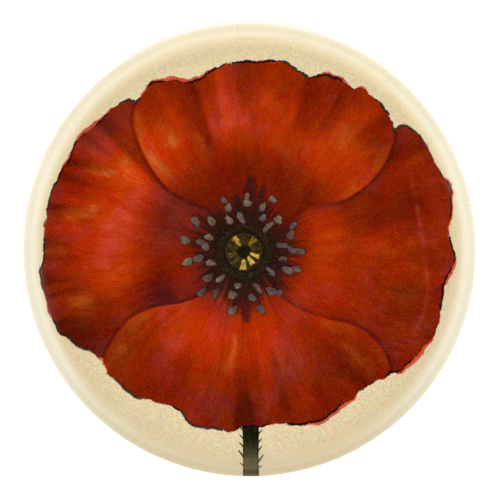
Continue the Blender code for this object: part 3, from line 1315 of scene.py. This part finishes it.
    @staticmethod
    def _wash(graph: Graph, tone: Signal, cold: Signal, warmth: Signal, stain: Signal) -> Signal:
        """Colour of a petal.

        Args:
            graph: The material's graph.
            tone: How light it is, from 0 to 1.
            cold: How far it leans to crimson.
            warmth: How far, below zero, it leans to umber.
            stain: How golden it is, or how pale and pink if below zero.

        Returns:
            The colour.
        """
        tone = tone * 0.755 + 0.138
        scarlet = graph.ramp(tone, (
            (0.0, paint(80, 15, 1)), (0.16, paint(101, 21, 1)), (0.34, paint(123, 29, 0)),
            (0.52, paint(145, 36, 0)), (0.7, paint(168, 44, 0)), (0.86, paint(185, 53, 2)),
            (1.0, paint(202, 74, 24)),
        ))
        crimson = graph.ramp(tone, (
            (0.0, paint(74, 20, 20)), (0.16, paint(98, 29, 23)), (0.34, paint(120, 36, 25)),
            (0.52, paint(142, 42, 29)), (0.7, paint(168, 48, 31)), (0.86, paint(189, 58, 38)),
            (1.0, paint(204, 82, 56)),
        ))
        umber = graph.ramp(tone, (
            (0.0, paint(80, 28, 6)), (0.34, paint(120, 46, 8)), (0.7, paint(160, 70, 16)),
            (1.0, paint(194, 110, 52)),
        ))
        petal = graph.blend(graph.smooth(cold, 0.0, 0.9) * 0.8, scarlet, crimson)
        petal = graph.blend(graph.smooth(warmth, -0.05, -0.24) * 0.6, petal, umber)
        petal = graph.blend(graph.smooth(stain, 0.1, 1.0) * 0.8, petal, umber)
        bleach = graph.smooth(stain, -0.2, -1.1) * 0.11
        return graph.blend(bleach, petal, paint(196, 110, 84))

    def _heart(self, graph: Graph, place: Signal, grain: Signal, under: Signal) -> Signal:
        """The capsule, and the stamens round it."""
        _, radius, way = self._round(graph, place, self.capsule)
        strokes = graph.noise(way, 16.0, 3.0, 0.7)
        haze = graph.smooth(radius + strokes * 22.0 + grain * 2.0, 20.0, 12.0)
        drawn = graph.blend(haze * 0.9, under, paint(46, 18, 12))
        spike = graph.smooth(graph.attribute("spike") + grain * 2.0 + strokes * 3.0, -0.9, 0.9)
        drawn = graph.blend(spike * 0.8, drawn, paint(50, 18, 16))
        thread = graph.smooth(graph.attribute("filament") + grain * 0.6, -0.14, 0.14)
        drawn = graph.blend(thread * 0.75, drawn, paint(34, 18, 12))
        ring = graph.smooth(radius + strokes * 7.0 + grain * 2.0, 11.4, 8.4)
        mixed = graph.noise(graph.pack(radius * 0.5, strokes * 3.0, 0.0), 1.0, 3.0, 0.7)
        olive = graph.ramp(mixed * 1.6 + grain * 1.2 + 0.46, (
            (0.2, paint(18, 10, 6)), (0.5, paint(36, 24, 13)), (0.7, paint(62, 46, 26)),
            (0.95, paint(108, 90, 60)),
        ))
        drawn = graph.blend(ring, drawn, olive)
        disc = graph.smooth(radius + grain * 2.4 + strokes * 2.0, 6.2, 5.3)
        felt = graph.blend(graph.smooth(mixed, -0.2, 0.2), paint(30, 22, 8), paint(64, 50, 14))
        drawn = graph.blend(disc * 0.8, drawn, felt)
        moat = graph.smooth(abs(radius - 6.7), 1.0, 0.2)
        drawn = graph.blend(moat * 0.7, drawn, paint(20, 14, 8))
        drawn = graph.blend(graph.smooth(radius, 2.5, 1.7) * 0.9, drawn, paint(22, 16, 8))
        ray = graph.smooth(graph.attribute("ray") + grain * 1.6, -0.1, 0.26)
        gold = graph.ramp(graph.attribute("ray_tone") + grain * 1.6, (
            (0.0, paint(46, 36, 12)), (0.4, paint(76, 60, 18)), (0.7, paint(140, 106, 34)),
            (1.0, paint(204, 162, 76)),
        ))
        drawn = graph.blend(ray, drawn, gold)
        anther = graph.attribute("anther")
        rim = graph.smooth(anther + grain * 0.6, -0.5, -0.1)
        drawn = graph.blend(rim * 0.65, drawn, paint(30, 14, 12))
        mottle = graph.noise(place, 0.8, 3.0, 0.7)
        dust = graph.ramp(graph.attribute("anther_tone") * 0.5 + grain * 1.0 + mottle * 0.9 + 0.22, (
            (0.0, paint(54, 34, 28)), (0.35, paint(82, 62, 50)), (0.65, paint(107, 87, 69)),
            (1.0, paint(136, 117, 94)),
        ))
        lilac = graph.smooth(graph.noise(place, 0.16, 1.0), 0.0, 0.12)
        dust = graph.blend(lilac * 0.45, dust, paint(92, 75, 90))
        return graph.blend(graph.smooth(anther + grain * 1.0, -0.22, 0.2) * 0.9, drawn, dust)


@dataclass(frozen=True)
class BackingPaper:
    """Plain warm paper under a thin coat of varnish.

    Attributes:
        light: Its lighter colour.
        dark: Its darker colour.
    """

    light: Colour = field(default_factory=lambda: paint(222, 211, 186))
    dark: Colour = field(default_factory=lambda: paint(196, 182, 152))

    def make(self) -> bpy.types.Material:
        """The sheet's material: laid fibres, slight mottling and a soft gloss."""
        material, graph = new_material("backing_paper")
        place = graph.place()
        cloud = graph.noise(place, 0.07, 4.0, 0.6)
        fibre = graph.noise(graph.vector("MULTIPLY", place, (0.5, 2.4, 1.4)), 0.9, 4.0, 0.7)
        tone = graph.blend(graph.smooth(cloud + fibre * 0.7, -0.3, 0.3), self.dark, self.light)
        inputs = {
            "Base Color": tone,
            "Roughness": graph.smooth(fibre, -0.3, 0.3, 0.42, 0.58),
            "Coat Weight": 0.25,
            "Coat Roughness": 0.2,
            "Normal": graph.bump(fibre, 0.05 * MM),
        }
        close_material(graph, graph.add("ShaderNodeBsdfPrincipled", None, inputs))
        return material


@dataclass(frozen=True)
class SoftRubber:
    """Clear soft rubber, a little hazy with dust.

    Attributes:
        tint: Colour of the rubber.
    """

    tint: Colour = (0.86, 0.87, 0.84, 1.0)

    def make(self) -> bpy.types.Material:
        """The bumpers' material."""
        material, graph = new_material("bumper_rubber")
        dust = graph.noise(graph.place(), 1.6, 4.0, 0.7)
        inputs = {
            "Base Color": graph.blend(graph.smooth(dust, -0.1, 0.3) * 0.3, self.tint, paint(190, 186, 176)),
            "Roughness": graph.smooth(dust, -0.2, 0.3, 0.22, 0.42),
            "Transmission Weight": 0.7,
            "IOR": 1.45,
            "Normal": graph.bump(dust, 0.02 * MM),
        }
        close_material(graph, graph.add("ShaderNodeBsdfPrincipled", None, inputs))
        return material


# ------------------------------------------------------------------ sub-assemblies


@dataclass(frozen=True)
class GlassPlate:
    """The clear dish.

    Attributes:
        dish: The line that it follows.
        spokes: Steps round the dish.
        bend_step: Step along the bend.
        flat_step: Step along the well.
        corner_steps: Steps in each polished corner.
    """

    dish: Dish
    spokes: int = 256
    bend_step: float = 0.2 * MM
    flat_step: float = 5.0 * MM
    corner_steps: int = 7

    def section(self) -> list[Point]:
        """The glass in section: upper face, rounded edge and underside."""
        dish = self.dish
        bend_end = dish.well_radius + dish.bend_length
        last = dish.full_reach - dish.edge_round
        upper = stepped(0.0, dish.well_radius, self.flat_step)
        upper += stepped(dish.well_radius, bend_end, self.bend_step)
        upper += stepped(bend_end, last, 0.9 * MM)
        corner = dish.edge_round
        corners = quarter((last, -corner), corner, math.pi / 2, self.corner_steps)
        corners += quarter((last, corner - dish.glass_thickness), corner, 0.0, self.corner_steps)
        face = [(reach, 0.0) for reach in upper]
        under = [(reach, dish.glass_thickness) for reach in reversed(upper)]
        return [*face, *corners, *under]

    def build(self, lathe: Lathe) -> bpy.types.Object:
        """Turns the dish and dresses it."""
        piece = lathe.turn("glass_dish", self.section(), self.spokes, ClearGlass().make(), self.dish)
        settle(piece, "clear_glass", "glass_plate")
        return piece


@dataclass(frozen=True)
class PrintSheet:
    """The printed sheet, face up against the underside of the glass.

    Attributes:
        dish: The line that it follows.
        drawing: The picture on it.
        spokes: Steps round the sheet.
        heart_radius: Where the finely stepped middle ends.
        heart_step: Step in that middle.
        petal_step: Step outside it.
        back_step: Step along the back.
        press: How far it is pressed into the glass, so that no air shows between.
        margin: How far it stops short of the polished corner.
        thickness: Thickness of the paper.
    """

    dish: Dish
    drawing: PoppyDrawing = field(default_factory=PoppyDrawing)
    spokes: int = 720
    heart_radius: float = 22.0 * MM
    heart_step: float = 0.35 * MM
    petal_step: float = 0.85 * MM
    back_step: float = 12.0 * MM
    press: float = 0.03 * MM
    margin: float = 0.3 * MM
    thickness: float = 0.2 * MM

    def section(self) -> list[Point]:
        """The sheet in section: finely stepped above, where it is drawn on, and plain below."""
        dish = self.dish
        last = dish.full_reach - dish.edge_round - self.margin
        top, bottom = dish.glass_thickness - self.press, dish.glass_thickness + self.thickness
        fine = stepped(0.0, self.heart_radius, self.heart_step)
        fine += stepped(self.heart_radius, last, self.petal_step)
        bend_end = dish.well_radius + dish.bend_length
        coarse = stepped(0.0, dish.well_radius, self.back_step)
        coarse += stepped(dish.well_radius, bend_end, 0.5 * MM)
        coarse += [bend_end]
        face = [(reach, top) for reach in [*fine, last]]
        back = [(reach, bottom) for reach in [last, *reversed(coarse)]]
        return [*face, *back]

    def build(self, lathe: Lathe) -> bpy.types.Object:
        """Turns the sheet, works the drawing out at its points and dresses it."""
        finish = PrintedPaper(self.drawing.centre, self.drawing.capsule).make()
        piece = lathe.turn("poppy_print", self.section(), self.spokes, finish, self.dish)
        places = np.empty(len(piece.data.vertices) * 3, np.float32)
        piece.data.vertices.foreach_get("co", places)
        places = places.reshape(-1, 3).astype(float) / MM
        for name, values in self.drawing.fields(places[:, 0], places[:, 1]).items():
            kept = piece.data.attributes.new(name, "FLOAT", "POINT")
            kept.data.foreach_set("value", values.astype(np.float32))
        settle(piece, "printed_paper", "print_sheet")
        return piece


@dataclass(frozen=True)
class BackingSheet:
    """The plain sheet that seals the back of the print.

    Attributes:
        dish: The line that it follows.
        spokes: Steps round the sheet.
        top: Depth of its upper face.
        bottom: Depth of its lower face.
        margin: How far it stops short of the polished corner.
    """

    dish: Dish
    spokes: int = 192
    top: float = 3.8 * MM
    bottom: float = 4.1 * MM
    margin: float = 0.8 * MM

    def build(self, lathe: Lathe) -> bpy.types.Object:
        """Turns the sheet and dresses it."""
        dish = self.dish
        last = dish.full_reach - dish.edge_round - self.margin
        bend_end = dish.well_radius + dish.bend_length
        reaches = stepped(0.0, dish.well_radius, 6.0 * MM)
        reaches += stepped(dish.well_radius, bend_end, 0.25 * MM)
        reaches += [bend_end, last]
        face = [(reach, self.top) for reach in reaches]
        back = [(reach, self.bottom) for reach in reversed(reaches)]
        piece = lathe.turn("backing_paper", [*face, *back], self.spokes, BackingPaper().make(), dish)
        settle(piece, "backing_paper", "backing_sheet")
        return piece


@dataclass(frozen=True)
class BumperSet:
    """Four soft domes that the plate stands on.

    Attributes:
        count: How many there are.
        circle: Radius of the circle that they stand on.
        height: Height of a dome.
        base: Radius where it is stuck on.
        foot: Radius of the flat that it stands on.
        skirt: Height of its straight side.
        spokes: Steps round a dome.
    """

    count: int = 4
    circle: float = 47.0 * MM
    height: float = 2.0 * MM
    base: float = 4.75 * MM
    foot: float = 2.8 * MM
    skirt: float = 0.35 * MM
    spokes: int = 48

    def section(self) -> list[Point]:
        """One dome in section, as radius and height turned upside down for the lathe."""
        dome, bulge = self.height - self.skirt, self.base - self.foot
        steps = [math.pi / 2 * step / 12 for step in range(13)]
        side = [(self.foot + bulge * math.cos(a), -dome * (1.0 - math.sin(a))) for a in steps]
        top = [(0.0, -self.height), (self.base - 0.15 * MM, -self.height)]
        return [*top, (self.base, -self.height + 0.15 * MM), (self.base, -dome), *side, (0.0, 0.0)]

    def build(self, lathe: Lathe) -> bpy.types.Object:
        """Turns one dome, sets copies of it round the circle and dresses them."""
        finish = SoftRubber().make()
        dome = lathe.turn("dome", self.section(), self.spokes, finish)
        tree = bpy.data.node_groups.new("set_on_circle", "GeometryNodeTree")
        sockets = {
            "Dome": ("NodeSocketGeometry", "INPUT"),
            "Count": ("NodeSocketInt", "INPUT"),
            "Circle": ("NodeSocketFloat", "INPUT"),
            "Finish": ("NodeSocketMaterial", "INPUT"),
            "Set": ("NodeSocketGeometry", "OUTPUT"),
        }
        keys = {
            name: tree.interface.new_socket(name, in_out=way, socket_type=kind).identifier
            for name, (kind, way) in sockets.items()
        }
        graph = Graph(tree)
        given = graph.add("NodeGroupInput")
        ring = graph.add(
            "GeometryNodeMeshCircle",
            None,
            {"Vertices": given.output("Count"), "Radius": given.output("Circle")},
        )
        half_step = math.pi / self.count
        turned = graph.add("GeometryNodeTransform", None, {0: ring, "Rotation": (0.0, 0.0, half_step)})
        copies = graph.add("GeometryNodeInstanceOnPoints", None, {"Points": turned, "Instance": given})
        solid = graph.add("GeometryNodeRealizeInstances", None, {0: copies})
        finished = {0: solid, "Material": given.output("Finish")}
        graph.add("NodeGroupOutput", None, {0: graph.add("GeometryNodeSetMaterial", None, finished)})
        bpy.context.scene.collection.objects.unlink(dome)
        values = {"Count": self.count, "Circle": self.circle, "Finish": finish}
        piece = run_tree(dome, "bumpers", tree, keys, values)
        settle(piece, "bumper_rubber", *[f"bumper_{number + 1}" for number in range(self.count)])
        return piece


# ------------------------------------------------------------------ studio


@dataclass(frozen=True)
class SoftLamp:
    """One large soft lamp, aimed at the middle of the plate.

    Attributes:
        azimuth: Degrees round from the front, towards +X.
        elevation: Degrees over the table.
        width: Its width.
        height: Its height.
        power: Its power in watts.
        distance: How far off it stands.
    """

    azimuth: float
    elevation: float
    width: float
    height: float
    power: float
    distance: float = 1.2

    def build(self, number: int) -> None:
        """Hangs the lamp and aims it."""
        data = bpy.data.lights.new(f"soft_lamp_{number}", "AREA")
        data.shape = "RECTANGLE"
        data.size, data.size_y, data.energy = self.width, self.height, self.power
        lamp = bpy.data.objects.new(f"soft_lamp_{number}", data)
        turn, rise = math.radians(self.azimuth), math.radians(self.elevation)
        lamp.location = (
            self.distance * math.sin(turn) * math.cos(rise),
            -self.distance * math.cos(turn) * math.cos(rise),
            self.distance * math.sin(rise),
        )
        lamp.rotation_euler = (math.pi / 2 - rise, 0.0, turn)
        lamp.visible_glossy = False
        bpy.context.scene.collection.objects.link(lamp)


@dataclass(frozen=True)
class Studio:
    """A white table, even light from low round the sides, and a camera straight above.

    Attributes:
        dish: The dish that stands on the table.
        lamps: The soft lamps.
        sky: How bright the sky is above the table's edge.
        lens: The camera's focal length, in millimetres.
        sensor: The camera's width of sensor, in millimetres.
        plate_share: Share of the view that the plate fills.
        aim: Where the camera stands over the table.
    """

    dish: Dish
    lamps: tuple[SoftLamp, ...] = (
        SoftLamp(0.0, 26.0, 1.1, 0.55, 5.0),
        SoftLamp(90.0, 22.0, 1.0, 0.5, 7.5),
        SoftLamp(-90.0, 22.0, 1.0, 0.5, 7.5),
        SoftLamp(180.0, 24.0, 1.1, 0.5, 7.2),
        SoftLamp(35.0, 56.0, 0.5, 0.5, 4.0),
        SoftLamp(-35.0, 56.0, 0.5, 0.5, 4.0),
    )
    sky: float = 0.22
    lens: float = 150.0
    sensor: float = 36.0
    plate_share: float = 0.908
    aim: Point = (0.15 * MM, 0.04 * MM)

    def build(self) -> None:
        """Sets up the table, the lamps, the sky and the camera."""
        self._table()
        for number, lamp in enumerate(self.lamps):
            lamp.build(number)
        self._sky()
        self._camera()

    def _table(self) -> None:
        """A wide white table top, which glows a little, and more far off where lamps don't reach."""
        material, graph = new_material("table_white")
        place = graph.place()
        grain = graph.noise(place, 0.02, 3.0)
        dull, bright = (0.93, 0.93, 0.93, 1.0), (0.95, 0.95, 0.945, 1.0)
        tone = graph.blend(graph.smooth(grain, -0.3, 0.3), dull, bright)
        far = graph.smooth(graph.vector("LENGTH", place, output="Value"), 350.0, 1500.0)
        glow = graph.blend(far, (0.24, 0.24, 0.24, 1.0), (0.8, 0.8, 0.8, 1.0))
        inputs = {"Base Color": tone, "Roughness": 0.8, "Specular IOR Level": 0.1}
        inputs.update({"Emission Color": glow, "Emission Strength": 1.0})
        close_material(graph, graph.add("ShaderNodeBsdfPrincipled", None, inputs))
        mesh = bpy.data.meshes.new("table_top")
        half, low = 6.0, -0.05 * MM
        corners = [(-half, -half, low), (half, -half, low), (half, half, low), (-half, half, low)]
        mesh.from_pydata(corners, [], [(0, 1, 2, 3)])
        mesh.materials.append(material)
        table = bpy.data.objects.new("table_top", mesh)
        bpy.context.scene.collection.objects.link(table)

    def _sky(self) -> None:
        """A dim even sky, white where it meets the table."""
        world = bpy.data.worlds.new("studio")
        world.use_nodes = True
        world.node_tree.nodes.clear()
        graph = Graph(world.node_tree)
        way = graph.add("ShaderNodeTexCoord", None, None, "Generated")
        rise = graph.add("ShaderNodeSeparateXYZ", None, {0: way}).output("Z")
        level = graph.smooth(rise, 0.02, 0.3, 1.0, self.sky)
        level = level * graph.smooth(rise, 0.75, 0.95, 1.0, 0.08)
        tone = graph.blend(level, (0.0, 0.0, 0.0, 1.0), (1.0, 1.0, 1.0, 1.0))
        light = graph.add("ShaderNodeBackground", None, {"Color": tone, "Strength": 1.0})
        graph.add("ShaderNodeOutputWorld", None, {"Surface": light})
        bpy.context.scene.world = world
        bpy.context.scene.view_settings.view_transform = "Standard"

    def _camera(self) -> None:
        """A camera straight above, with the top of the picture up."""
        data = bpy.data.cameras.new("camera")
        data.lens, data.sensor_width = self.lens, self.sensor
        width = 2.0 * self.dish.plate_radius / self.plate_share
        camera = bpy.data.objects.new("camera", data)
        camera.location = (*self.aim, self.dish.rim_top + width * self.lens / self.sensor)
        data.clip_start, data.clip_end = 0.01, 20.0
        bpy.context.scene.collection.objects.link(camera)
        bpy.context.scene.camera = camera


def main() -> None:
    """Builds the plate in order, then the studio."""
    logging.basicConfig(level=logging.INFO, format="%(message)s")
    dish, lathe = Dish.from_frame(), Lathe()
    for part in (GlassPlate(dish), PrintSheet(dish), BackingSheet(dish), BumperSet()):
        part.build(lathe)
    Studio(dish).build()


if __name__ == "__main__":
    main()
